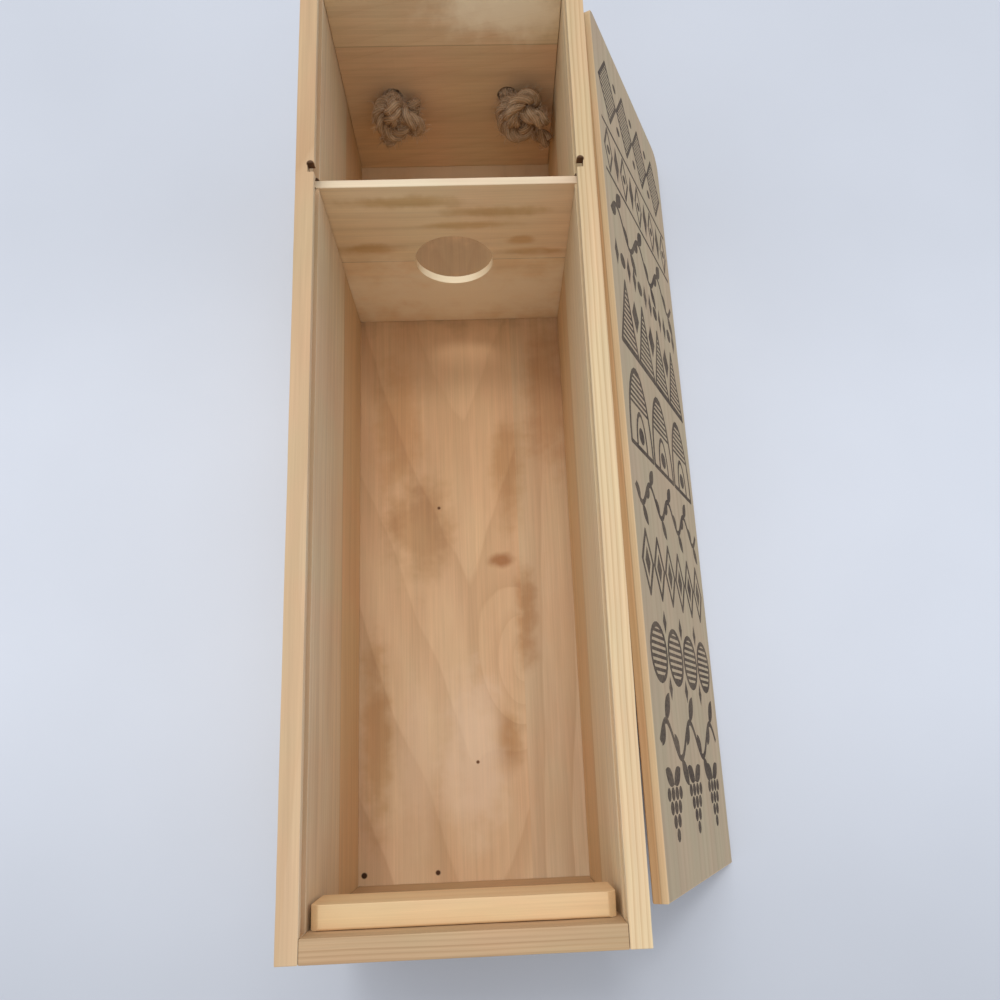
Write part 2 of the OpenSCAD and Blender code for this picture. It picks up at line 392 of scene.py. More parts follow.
def table_material(name, colour):
    t = Tree(name)
    place = t.node("ShaderNodeTexCoord").outputs["Object"]
    soft = t.noise(place, 9.0, 3.0, 0.5)
    tone_and_shade = t.range(soft, 0.3, 0.7, 0.98, 1.02)
    # Painted shade: the table darkens toward the box's foot side and a little toward its head side, as the
    # light falls off.
    near = t.range(t.split(place)[1], -0.27, -0.06, 0.75, 1.0, smooth=True)
    head_side_shade = t.range(t.split(place)[1], 0.02, 0.16, 1.0, 0.9, smooth=True)
    tone_and_shade = t.mul(tone_and_shade, t.mul(near, head_side_shade))
    shade = t.mix(1.0, colour, t.vector(tone_and_shade, tone_and_shade, tone_and_shade), "MULTIPLY")
    return t.finish(shade, 0.6, None, specular=0.2)


# Boards


def add_mesh(name, mesh, material):
    obj = bpy.data.objects.new(name, mesh)
    bpy.context.scene.collection.objects.link(obj)
    if material is not None:
        mesh.materials.clear()
        mesh.materials.append(material)
    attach(obj, "root")
    return obj


def softened(node, name, material, along, bevel, wobble, step=0.006):
    """A board with eased edges, and faces that waver a little inwards from the CAD node's flat ones."""
    bm = bmesh.new()
    bm.from_mesh(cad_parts[node].data)
    bmesh.ops.remove_doubles(bm, verts=bm.verts, dist=0.000002)
    bmesh.ops.dissolve_limit(bm, angle_limit=math.radians(1.0), verts=bm.verts, edges=bm.edges)
    shortest, flattest = 0.0033, 0.5
    sharp = [
        e
        for e in bm.edges
        if len(e.link_faces) == 2 and e.calc_length() > shortest and e.calc_face_angle(0.0) > flattest
    ]
    bmesh.ops.bevel(
        bm, geom=sharp, offset=bevel, offset_type="OFFSET", segments=2, profile=0.5, affect="EDGES",
        clamp_overlap=True,
    )
    index = "XYZ".index(along)
    low = min(v.co[index] for v in bm.verts)
    high = max(v.co[index] for v in bm.verts)
    direction = Vector([1.0 if i == index else 0.0 for i in range(3)])
    count = int((high - low) / step)
    for i in range(1, count):
        place = direction * (low + (high - low) * i / count)
        geom = bm.verts[:] + bm.edges[:] + bm.faces[:]
        bmesh.ops.bisect_plane(bm, geom=geom, plane_co=place, plane_no=direction, dist=0.000001)
    bmesh.ops.triangulate(bm, faces=bm.faces)
    bm.normal_update()
    shift = []
    for v in bm.verts:
        value = 0.5 + 0.5 * noise.noise(v.co * 70.0)
        value += 0.35 * noise.noise(v.co * 420.0)
        shift.append(v.normal * (-wobble * min(max(value, 0.0), 1.0)))
    for v, move in zip(bm.verts, shift):
        v.co += move
    mesh = bpy.data.meshes.new(name)
    bm.to_mesh(mesh)
    bm.free()
    obj = add_mesh(name, mesh, material)
    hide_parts(node)
    return obj


# Lid


def clip(polygon, point, normal):
    """The part of a convex polygon on the side of a line that its normal points away from."""
    kept = []
    for i, a in enumerate(polygon):
        b = polygon[(i + 1) % len(polygon)]
        da = (a[0] - point[0]) * normal[0] + (a[1] - point[1]) * normal[1]
        db = (b[0] - point[0]) * normal[0] + (b[1] - point[1]) * normal[1]
        if da <= 0:
            kept.append(a)
        if (da < 0 < db) or (db < 0 < da):
            share = da / (da - db)
            kept.append((a[0] + (b[0] - a[0]) * share, a[1] + (b[1] - a[1]) * share))
    return kept


def hatch(polygon, width=HATCH_LINE):
    """Level stripes across a convex polygon."""
    levels = [p[1] for p in polygon]
    made = []
    place = min(levels) + HATCH_GAP * 0.6
    while place < max(levels):
        below = clip(polygon, (0.0, place + width / 2), (0.0, 1.0))
        stripe = clip(below, (0.0, place - width / 2), (0.0, -1.0))
        if len(stripe) > 2:
            made.append(stripe)
        place += HATCH_GAP
    return made


def stroke(points, width, closed=False):
    """Quads along a line, wide enough at its corners to close up."""
    made = []
    count = len(points) if closed else len(points) - 1
    for i in range(count):
        a, b = Vector(points[i]), Vector(points[(i + 1) % len(points)])
        run = b - a
        if run.length < 1e-6:
            continue
        side = Vector((-run.y, run.x)).normalized() * width / 2
        end = run.normalized() * width * 0.3
        corners = (a + side - end, a - side - end, b - side + end, b + side + end)
        made.append([tuple(c) for c in corners])
    return made


def disc(x, y, r, sides=14):
    turns = [math.tau * i / sides for i in range(sides)]
    return [(x + r * math.cos(a), y + r * math.sin(a)) for a in turns]


def half_round(x, y, wide, high, steps):
    """The upper half of an oval, its flat side down."""
    turns = [math.pi * k / steps for k in range(steps + 1)]
    return [(x + wide * math.cos(a), y + high * math.sin(a)) for a in turns]


def leaf(x, y, length, width, angle):
    """A pointed leaf from its stalk."""
    outline = []
    for i in range(9):
        s = i / 8
        outline.append((s * length, math.sin(math.pi * s) ** 0.8 * width / 2))
    for i in range(7, 0, -1):
        s = i / 8
        outline.append((s * length, -math.sin(math.pi * s) ** 0.8 * width / 2))
    c, s = math.cos(angle), math.sin(angle)
    return [(x + px * c - py * s, y + px * s + py * c) for px, py in outline]


def diamond(x, y, w, h):
    return [(x - w / 2, y), (x, y - h / 2), (x + w / 2, y), (x, y + h / 2)]


def vine(y, low, high, waves, tall, width, leaf_size, flip):
    """A waving stem with leaves on both of its sides."""
    line = []
    for i in range(61):
        s = i / 60
        line.append((low + (high - low) * s, y + flip * tall * math.sin(math.tau * waves * s)))
    made = stroke(line, width)
    for i in range(int(waves * 2)):
        s = (i + 0.5) / (waves * 2)
        x = low + (high - low) * s
        side = flip * (1 if i % 2 == 0 else -1)
        top = y + side * tall
        made.append(leaf(x, top, leaf_size, leaf_size * 0.5, side * 0.9))
        made.append(leaf(x - 1.5, top - side * 1.0, leaf_size * 0.75, leaf_size * 0.4, -side * 2.2))
    return made


def print_shapes(low, high):
    """The lid's ornament in millimetres: bands of hatched lozenges, arches, vines, fruit and dots."""
    wide = high - low
    shapes = []
    # hatched lozenges at the head
    for i in range(4):
        x = low + wide * (i + 0.5) / 4
        outline = diamond(x, 315, wide / 4 * 0.94, 30)
        shapes += stroke(outline, 1.7, True) + hatch(outline, 1.2)
    for i in range(3):
        x = low + wide * (i + 1) / 4
        for y in (326, 304):
            shapes.append(disc(x, y, 2.1))
    # upright lozenges between rules
    shapes += stroke([(low, 294), (high, 294)], 1.6) + stroke([(low, 270), (high, 270)], 1.6)
    for i in range(9):
        x = low + wide * (i + 0.5) / 9
        if i % 2:
            shapes.append(diamond(x, 282, 6.0, 18))
        else:
            outline = diamond(x, 282, 9.0, 20)
            shapes += stroke(outline, 1.5, True)
            shapes.append(disc(x, 282, 2.0))
    shapes += vine(253, low + 2, high - 2, 3, 6, 2.2, 11.0, 1)
    # beads and bars
    for i in range(12):
        x = low + wide * (i + 0.5) / 12
        if i % 3 == 1:
            shapes.append(disc(x, 235, 3.2))
        else:
            shapes.append(diamond(x, 235, 4.8, 12))
    # large hatched sawteeth
    for i in range(4):
        x = low + wide * i / 4
        tooth = [(x + 0.6, 196), (x + wide / 4 - 0.6, 196), (x + wide / 8, 226)]
        shapes += stroke(tooth, 1.8, True) + hatch(tooth)
        if i:
            drop = diamond(x, 216, 9.0, 15)
            shapes.append(drop)
    # hatched arches
    foot = 156
    for i in range(3):
        x = low + wide * (i + 0.5) / 3
        half = wide / 6 - 1.2
        arch = half_round(x, foot, half, 33, 16)
        inner = half_round(x, foot, 0.45 * half, 15, 12)
        shapes += stroke(arch, 2.0, True)
        for stripe in hatch(arch):
            level = sum(p[1] for p in stripe) / len(stripe)
            if level > foot + 15.5:
                shapes.append(stripe)
        shapes += stroke(inner, 1.8, True)
        shapes.append(disc(x, 162, 3.4))
    shapes += vine(139, low + 1, high - 1, 3.5, 5, 2.2, 9.5, -1)
    # dotted diamonds
    for i in range(6):
        x = low + wide * (i + 0.5) / 6
        shapes += stroke(diamond(x, 112, 13.0, 23), 2.0, True)
        shapes.append(diamond(x, 112, 6.4, 11.5))
    # hatched discs and drops
    for i in range(4):
        x = low + wide * (i + 0.5) / 4
        ring = disc(x, 80, wide / 8 * 0.88, 28)
        shapes += stroke(ring, 1.9, True) + hatch(ring)
        if i < 3:
            for y in (92, 68):
                shapes.append(diamond(x + wide / 8, y, 4.8, 9))
    # fruit and leaves at the foot
    shapes += vine(50, low + 3, high - 3, 2.5, 6.5, 2.3, 12.5, 1)
    for i in range(3):
        x = low + wide * (i + 0.5) / 3
        for row, count in enumerate((4, 3, 2, 1)):
            for k in range(count):
                shapes.append(disc(x + (k - (count - 1) / 2) * 5.0, 32 - row * 4.5, 2.3, 12))
        shapes.append(leaf(x, 35, 11.0, 6.0, 0.5))
        shapes.append(leaf(x, 35, 11.0, 6.0, math.pi - 0.5))
    return shapes


def lid_matrix(props):
    """Where the lid lies: from flat at the origin to its lean."""
    lean = props.lean
    reach = props.width * math.sin(lean)
    return (
        Matrix.Translation((HALF_WIDTH + SEAT + reach, -HALF_LENGTH + LID_SET_BACK + props.length, 0.0))
        @ Matrix.Rotation(props.turn, 4, "Z")
        @ Matrix.Translation((0.0, -props.length, 0.0))
        @ Matrix.Rotation(math.pi / 2 - lean, 4, "Y")
        @ Matrix.Translation((-props.width, 0.0, 0.0))
    )


def lid_outline(width, length, right, left, inset):
    """The lid's edge seen from above, counter-clockwise, X from its upper edge to its lower one."""
    steps = 10
    points = [(inset, inset), (width - inset, inset)]
    for x, radius, start in ((width - right, right, 0.0), (left, left, math.pi / 2)):
        for i in range(steps + 1):
            a = start + math.pi / 2 * i / steps
            reach = radius - inset
            points.append((x + reach * math.cos(a), length - radius + reach * math.sin(a)))
    dense = []
    for i, a in enumerate(points):
        b = points[(i + 1) % len(points)]
        count = max(1, int(math.dist(a, b) / 8.0))
        for k in range(count):
            dense.append((a[0] + (b[0] - a[0]) * k / count, a[1] + (b[1] - a[1]) * k / count))
    return dense


def build_lid(props, wood, ink, edge):
    width, length, thick = props.width / MM, props.length / MM, props.thickness / MM
    rings = []
    for inset, z in ((0.5, 0.0), (0.0, 0.4), (0.0, thick - 0.35), (0.12, thick - 0.12), (0.4, thick)):
        outline = lid_outline(width, length, LID_RIGHT_RADIUS, LID_LEFT_RADIUS, inset)
        rings.append([(x, y, z) for x, y in outline])
    top = [(x, y) for x, y, z in rings[-1]]
    shapes = print_shapes(props.margin / MM, width - props.margin / MM)
    points = [Vector(p) for p in top]
    faces = [list(range(len(top)))]
    for shape in shapes:
        start = len(points)
        points += [Vector(p) for p in shape]
        area = sum(
            shape[i][0] * shape[(i + 1) % len(shape)][1] - shape[(i + 1) % len(shape)][0] * shape[i][1]
            for i in range(len(shape))
        )
        order = list(range(start, start + len(shape)))
        faces.append(order if area > 0 else order[::-1])
    flat, _, cells, _, _, origins = delaunay_2d_cdt(points, [], faces, 1, 1e-4)
    verts, polygons, inked = [], [], []
    for ring in rings[:-1]:
        verts += ring
    base = len(verts)
    verts += [(p[0], p[1], thick) for p in flat]
    finder = {}
    for i, p in enumerate(flat):
        finder[(round(p[0], 3), round(p[1], 3))] = base + i
    count = len(top)
    last = [finder[(round(x, 3), round(y, 3))] for x, y in top]
    for level in range(len(rings) - 1):
        for i in range(count):
            j = (i + 1) % count
            a, b = level * count + i, level * count + j
            if level < len(rings) - 2:
                c, d = a + count, b + count
            else:
                c, d = last[i], last[j]
            polygons.append((a, b, d, c))
            inked.append(2)
    polygons.append(tuple(range(count - 1, -1, -1)))
    inked.append(2)
    for cell, origin in zip(cells, origins):
        if not origin:
            continue
        polygons.append(tuple(base + i for i in cell))
        inked.append(1 if any(o > 0 for o in origin) else 0)
    mesh = bpy.data.meshes.new("printed_lid")
    mesh.from_pydata([tuple(c * MM for c in v) for v in verts], [], polygons)
    mesh.validate()
    local = mesh.attributes.new("lid_place", "FLOAT_VECTOR", "POINT")
    for i, v in enumerate(mesh.vertices):
        local.data[i].vector = v.co
    mesh.transform(lid_matrix(props))
    obj = add_mesh("printed_lid", mesh, wood)
    mesh.materials.append(ink)
    mesh.materials.append(edge)
    for polygon, index in zip(mesh.polygons, inked):
        polygon.material_index = index
    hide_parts("lid")
    return obj


# Rope


class Group:
    """Builds a geometry node tree, one call for each node."""

    def __init__(self, name, floats, integers):
        self.tree = bpy.data.node_groups.new(name, "GeometryNodeTree")
        face = self.tree.interface
        face.new_socket("Geometry", in_out="OUTPUT", socket_type="NodeSocketGeometry")
        face.new_socket("Geometry", in_out="INPUT", socket_type="NodeSocketGeometry")
        for kind, values in (("NodeSocketFloat", floats), ("NodeSocketInt", integers)):
            for title, value in values:
                face.new_socket(title, in_out="INPUT", socket_type=kind).default_value = value
        face.new_socket("Material", in_out="INPUT", socket_type="NodeSocketMaterial")
        self.given = self.tree.nodes.new("NodeGroupInput").outputs

    def node(self, kind, plugs=None, **settings):
        made = self.tree.nodes.new(kind)
        for key, value in settings.items():
            setattr(made, key, value)
        for socket, value in (plugs or {}).items():
            if isinstance(value, bpy.types.NodeSocket):
                self.tree.links.new(value, made.inputs[socket])
            else:
                made.inputs[socket].default_value = value
        return made

    def finish(self, geometry):
        real = self.node("GeometryNodeRealizeInstances", {"Geometry": geometry})
        paint = self.node(
            "GeometryNodeSetMaterial", {"Geometry": real.outputs[0], "Material": self.given["Material"]}
        )
        self.node("NodeGroupOutput", {0: paint.outputs[0]})
        return self.tree


def rope_tree():
    """Three strands twisted about a centreline. Sizes in metres."""
    g = Group(
        "Twisted rope",
        (("Rope radius", 0.004), ("Lay length", 0.022), ("Ring spacing", 0.0007), ("Fill", 1.08)),
        (("Strand sides", 14),),
    )
    given = g.given

    def calc(operation, a, b):
        return g.node("ShaderNodeMath", {0: a, 1: b}, operation=operation).outputs[0]

    def stored(title, curve, value):
        plugs = {"Geometry": curve, "Name": title, "Value": value}
        made = g.node("GeometryNodeStoreNamedAttribute", plugs, data_type="FLOAT", domain="POINT")
        return made.outputs["Geometry"]

    to_curve = g.node("GeometryNodeMeshToCurve", {"Mesh": given["Geometry"]})
    resample = g.node(
        "GeometryNodeResampleCurve", {"Curve": to_curve.outputs["Curve"], "Length": given["Ring spacing"]},
        mode="LENGTH",
    )
    parameter = g.node("GeometryNodeSplineParameter")
    normal = g.node("GeometryNodeInputNormal").outputs[0]
    tangent = g.node("GeometryNodeInputTangent").outputs[0]
    turn = calc("DIVIDE", parameter.outputs["Length"], given["Lay length"])
    turn = calc("MULTIPLY", turn, math.tau)
    strand_radius = calc("MULTIPLY", given["Rope radius"], 0.464)
    strand_radius = calc("MULTIPLY", strand_radius, given["Fill"])
    offset = calc("SUBTRACT", given["Rope radius"], strand_radius)
    join = g.node("GeometryNodeJoinGeometry")
    for k in range(3):
        angle = calc("ADD", turn, k * math.tau / 3)
        rotate = g.node(
            "ShaderNodeVectorRotate", {"Vector": normal, "Axis": tangent, "Angle": angle},
            rotation_type="AXIS_ANGLE",
        )
        scale = g.node("ShaderNodeVectorMath", {0: rotate.outputs[0], "Scale": offset}, operation="SCALE")
        line = stored("along", resample.outputs["Curve"], parameter.outputs["Length"])
        move = g.node("GeometryNodeSetPosition", {"Geometry": line, "Offset": scale.outputs[0]})
        circle = g.node(
            "GeometryNodeCurvePrimitiveCircle",
            {"Resolution": given["Strand sides"], "Radius": strand_radius},
        )
        factor = g.node("GeometryNodeSplineParameter").outputs["Factor"]
        profile = stored("around", circle.outputs["Curve"], factor)
        skin = g.node(
            "GeometryNodeCurveToMesh",
            {"Fill Caps": True, "Curve": move.outputs["Geometry"], "Profile Curve": profile},
        )
        g.tree.links.new(skin.outputs["Mesh"], join.inputs["Geometry"])
    return g.finish(join.outputs["Geometry"])


def fuzz_tree():
    """Short hairs standing on a rope's surface. Sizes in metres."""
    g = Group(
        "Rope fuzz",
        (("Density", 300000.0), ("Hair length", 0.003), ("Hair radius", 0.00006)),
        (("Seed", 7),),
    )
    given = g.given
    seed = given["Seed"]
    scatter = g.node(
        "GeometryNodeDistributePointsOnFaces",
        {"Mesh": given["Geometry"], "Density": given["Density"], "Seed": seed},
    )
    arc = g.node(
        "GeometryNodeCurveQuadraticBezier",
        {"Resolution": 4, "Start": (0.0, 0.0, 0.0), "Middle": (0.15, 0.0, 0.55), "End": (0.75, 0.1, 0.8)},
    )
    grow = g.node("GeometryNodeTransform", {"Geometry": arc.outputs[0], "Scale": given["Hair length"]})
    circle = g.node("GeometryNodeCurvePrimitiveCircle", {"Resolution": 3, "Radius": given["Hair radius"]})
    skin = g.node(
        "GeometryNodeCurveToMesh", {"Curve": grow.outputs[0], "Profile Curve": circle.outputs["Curve"]}
    )
    spin = g.node(
        "FunctionNodeRandomValue", {0: (-0.9, -0.9, 0.0), 1: (0.9, 0.9, math.tau), "Seed": seed},
        data_type="FLOAT_VECTOR",
    )
    tilt = g.node(
        "FunctionNodeRotateRotation", {0: scatter.outputs["Rotation"], 1: spin.outputs[0]},
        rotation_space="LOCAL",
    )
    size = g.node("FunctionNodeRandomValue", {2: 0.35, 3: 1.3, "Seed": seed}, data_type="FLOAT")
    place = g.node(
        "GeometryNodeInstanceOnPoints",
        {
            "Points": scatter.outputs["Points"], "Instance": skin.outputs["Mesh"],
            "Rotation": tilt.outputs[0], "Scale": size.outputs[1],
        },
    )
    return g.finish(place.outputs["Instances"])


def through_nodes(name, mesh, tree, values):
    """A plain mesh made by running a node tree over a mesh."""
    holder = bpy.data.objects.new(name + "_holder", mesh)
    bpy.context.scene.collection.objects.link(holder)
    modifier = holder.modifiers.new("Nodes", "NODES")
    modifier.node_group = tree
    sockets = {s.name: s.identifier for s in tree.interface.items_tree if s.in_out == "INPUT"}
    for key, value in values.items():
        modifier[sockets[key]] = value
    bpy.context.view_layer.update()
    graph = bpy.context.evaluated_depsgraph_get()
    made = bpy.data.meshes.new_from_object(holder.evaluated_get(graph))
    bpy.data.objects.remove(holder)
    made.name = name
    if not made.polygons:
        raise RuntimeError(f"{name} came out empty")
    return made


def line_mesh(name, points):
    mesh = bpy.data.meshes.new(name)
    mesh.from_pydata([tuple(p) for p in points], [(i, i + 1) for i in range(len(points) - 1)], [])
    return mesh


def smooth_line(points, per=10):
    """A Catmull-Rom line through the points."""
    points = [Vector(p) for p in points]
    full = [2 * points[0] - points[1]] + points + [2 * points[-1] - points[-2]]
    line = []
    for i in range(1, len(full) - 2):
        a, b, c, d = full[i - 1 : i + 3]
        for k in range(per):
            s = k / per
            square = (2 * a - 5 * b + 4 * c - d) * s**2
            cube = (3 * b - a - 3 * c + d) * s**3
            line.append(0.5 * (2 * b + (c - a) * s + square + cube))
    line.append(points[-1])
    return line


def handle_route():
    """The rope's centreline outside the head board, from the left knot to the right one.

    Each point is X as a share of the hole's, Y from the knots' face and Z, both in millimetres.
    """
    half = [
        (1, 0, 50), (1, 4, 50), (1, 8, 50), (1, 14, 50), (1.04, 20, 49), (1.08, 27, 47), (1.08, 34, 44.5),
        (1.04, 41, 42), (0.92, 48, 39), (0.77, 54, 37), (0.54, 59, 35.5), (0.27, 62, 35), (0, 63, 35),
    ]
    rest = [(-s, y, z) for s, y, z in reversed(half[:-1])]
    return [Vector((-HOLE_X * s, KNOT_FACE + y * MM, z * MM)) for s, y, z in half + rest]


def knot_route(middle, entry, tail, turn, size):
    """An overhand knot lying against the head board: from its hole, twice round, and out along its tail."""
    points = [entry + Vector((0.0, 0.002, 0.0)), entry]
    big, small, deep = 0.0062 * size, 0.0031 * size, 0.0040 * size
    first, last = 0.30, math.tau - 0.45
    count = 26
    for i in range(count + 1):
        a = first + (last - first) * i / count
        reach = big + small * math.cos(3 * a)
        points.append(
            middle
            + Vector(
                (
                    reach * math.cos(2 * a + turn),
                    -deep * math.sin(3 * a),
                    reach * math.sin(2 * a + turn),
                )
            )
        )
    end = points[-1]
    points.append(end.lerp(tail, 0.5) + Vector((0.0, -0.0012, 0.0)))
    points.append(tail)
    return smooth_line(points, 8)


# Settings


class BoardSettings(bpy.types.PropertyGroup):
    bevel: bpy.props.FloatProperty(
        name="Eased edge", description="Width of the boards' eased edges", default=0.00035, unit="LENGTH"
    )
    wobble: bpy.props.FloatProperty(
        name="Waver", description="How far the sawn faces waver", default=0.00016, unit="LENGTH"
    )


class LidSettings(bpy.types.PropertyGroup):
    width: bpy.props.FloatProperty(
        name="Width", description="Width of the lid", default=0.0988, unit="LENGTH"
    )
    length: bpy.props.FloatProperty(
        name="Length", description="Length of the lid", default=0.3444, unit="LENGTH"
    )
    thickness: bpy.props.FloatProperty(
        name="Thickness", description="Thickness of the lid", default=0.0054, unit="LENGTH"
    )
    lean: bpy.props.FloatProperty(
        name="Lean", description="Angle of the lid from upright", default=math.radians(26.8),
        subtype="ANGLE",
    )
    turn: bpy.props.FloatProperty(
        name="Turn", description="Turn of the lid away from the box", default=math.radians(0.6),
        subtype="ANGLE",
    )
    margin: bpy.props.FloatProperty(
        name="Margin", description="Bare wood beside the ornament", default=0.0045, unit="LENGTH"
    )


class RopeSettings(bpy.types.PropertyGroup):
    radius: bpy.props.FloatProperty(
        name="Rope radius", description="Radius of the handle's rope", default=0.0039, unit="LENGTH"
    )
    knot_radius: bpy.props.FloatProperty(
        name="Rope radius in the knots", description="Radius of the tightened rope", default=0.0034,
        unit="LENGTH",
    )
    lay: bpy.props.FloatProperty(
        name="Lay length", description="Length of one turn of the strands", default=0.021, unit="LENGTH"
    )
    hair: bpy.props.FloatProperty(
        name="Hair", description="Length of the hairs", default=0.003, unit="LENGTH"
    )


class StageSettings(bpy.types.PropertyGroup):
    sky: bpy.props.FloatProperty(name="Sky", description="Strength of the even light", default=0.7)
    key: bpy.props.FloatProperty(name="Key", description="Strength of the small lamp", default=0.42)
    window: bpy.props.FloatProperty(name="Window", description="Strength of the broad lamp", default=0.83)


# Operators


class WINEBOX_OT_stage(bpy.types.Operator):
    """Add the camera, the table and the lamps"""

    bl_idname = "winebox.stage"
    bl_label = "Stage"

    def execute(self, context):
        settings = context.scene.winebox_stage
        data = bpy.data.cameras.new("photo_camera")
        data.sensor_width = 36.0
        data.lens = 29.2327
        data.shift_x = -0.01668
        data.shift_y = 0.06575
        data.clip_start = 0.01
        camera = bpy.data.objects.new("photo_camera", data)
        context.scene.collection.objects.link(camera)
        camera.location = (0.011416, -0.124794, 0.358464)
        camera.rotation_euler = Euler([math.radians(a) for a in (13.707, -1.250, -2.344)], "XYZ")
        context.scene.camera = camera

        mesh = bpy.data.meshes.new("table_top")
        mesh.from_pydata([(-3, -3, 0), (3, -3, 0), (3, 3, 0), (-3, 3, 0)], [], [(0, 1, 2, 3)])
        table = bpy.data.objects.new("table_top", mesh)
        context.scene.collection.objects.link(table)
        mesh.materials.append(table_material("pale_table", srgb("DADFEA")))

        for name, energy, spread, height in (
            ("key_lamp", settings.key, 9.0, 68.0), ("window_light", settings.window, 50.0, 60.0)
        ):
            lamp = bpy.data.lights.new(name, "SUN")
            lamp.energy = energy
            lamp.angle = math.radians(spread)
            lamp.color = (1.0, 0.99, 0.97)
            key = bpy.data.objects.new(name, lamp)
            context.scene.collection.objects.link(key)
            rise = math.radians(height)
            direction = Vector((-0.06, math.cos(rise), math.sin(rise)))
            key.rotation_euler = direction.to_track_quat("Z", "Y").to_euler()

        world = bpy.data.worlds.new("even_light")
        context.scene.world = world
        world.use_nodes = True
        nodes, links = world.node_tree.nodes, world.node_tree.links
        nodes.clear()
        output = nodes.new("ShaderNodeOutputWorld")
        even = nodes.new("ShaderNodeBackground")
        even.inputs[0].default_value = (0.93, 0.96, 1.0, 1.0)
        even.inputs[1].default_value = settings.sky
        seen = nodes.new("ShaderNodeBackground")
        seen.inputs[0].default_value = (0.86, 0.89, 0.94, 1.0)
        seen.inputs[1].default_value = 1.0
        path = nodes.new("ShaderNodeLightPath")
        mixer = nodes.new("ShaderNodeMixShader")
        links.new(path.outputs["Is Camera Ray"], mixer.inputs[0])
        links.new(even.outputs[0], mixer.inputs[1])
        links.new(seen.outputs[0], mixer.inputs[2])
        links.new(mixer.outputs[0], output.inputs[0])
        context.scene.view_settings.view_transform = "Standard"
        return {"FINISHED"}


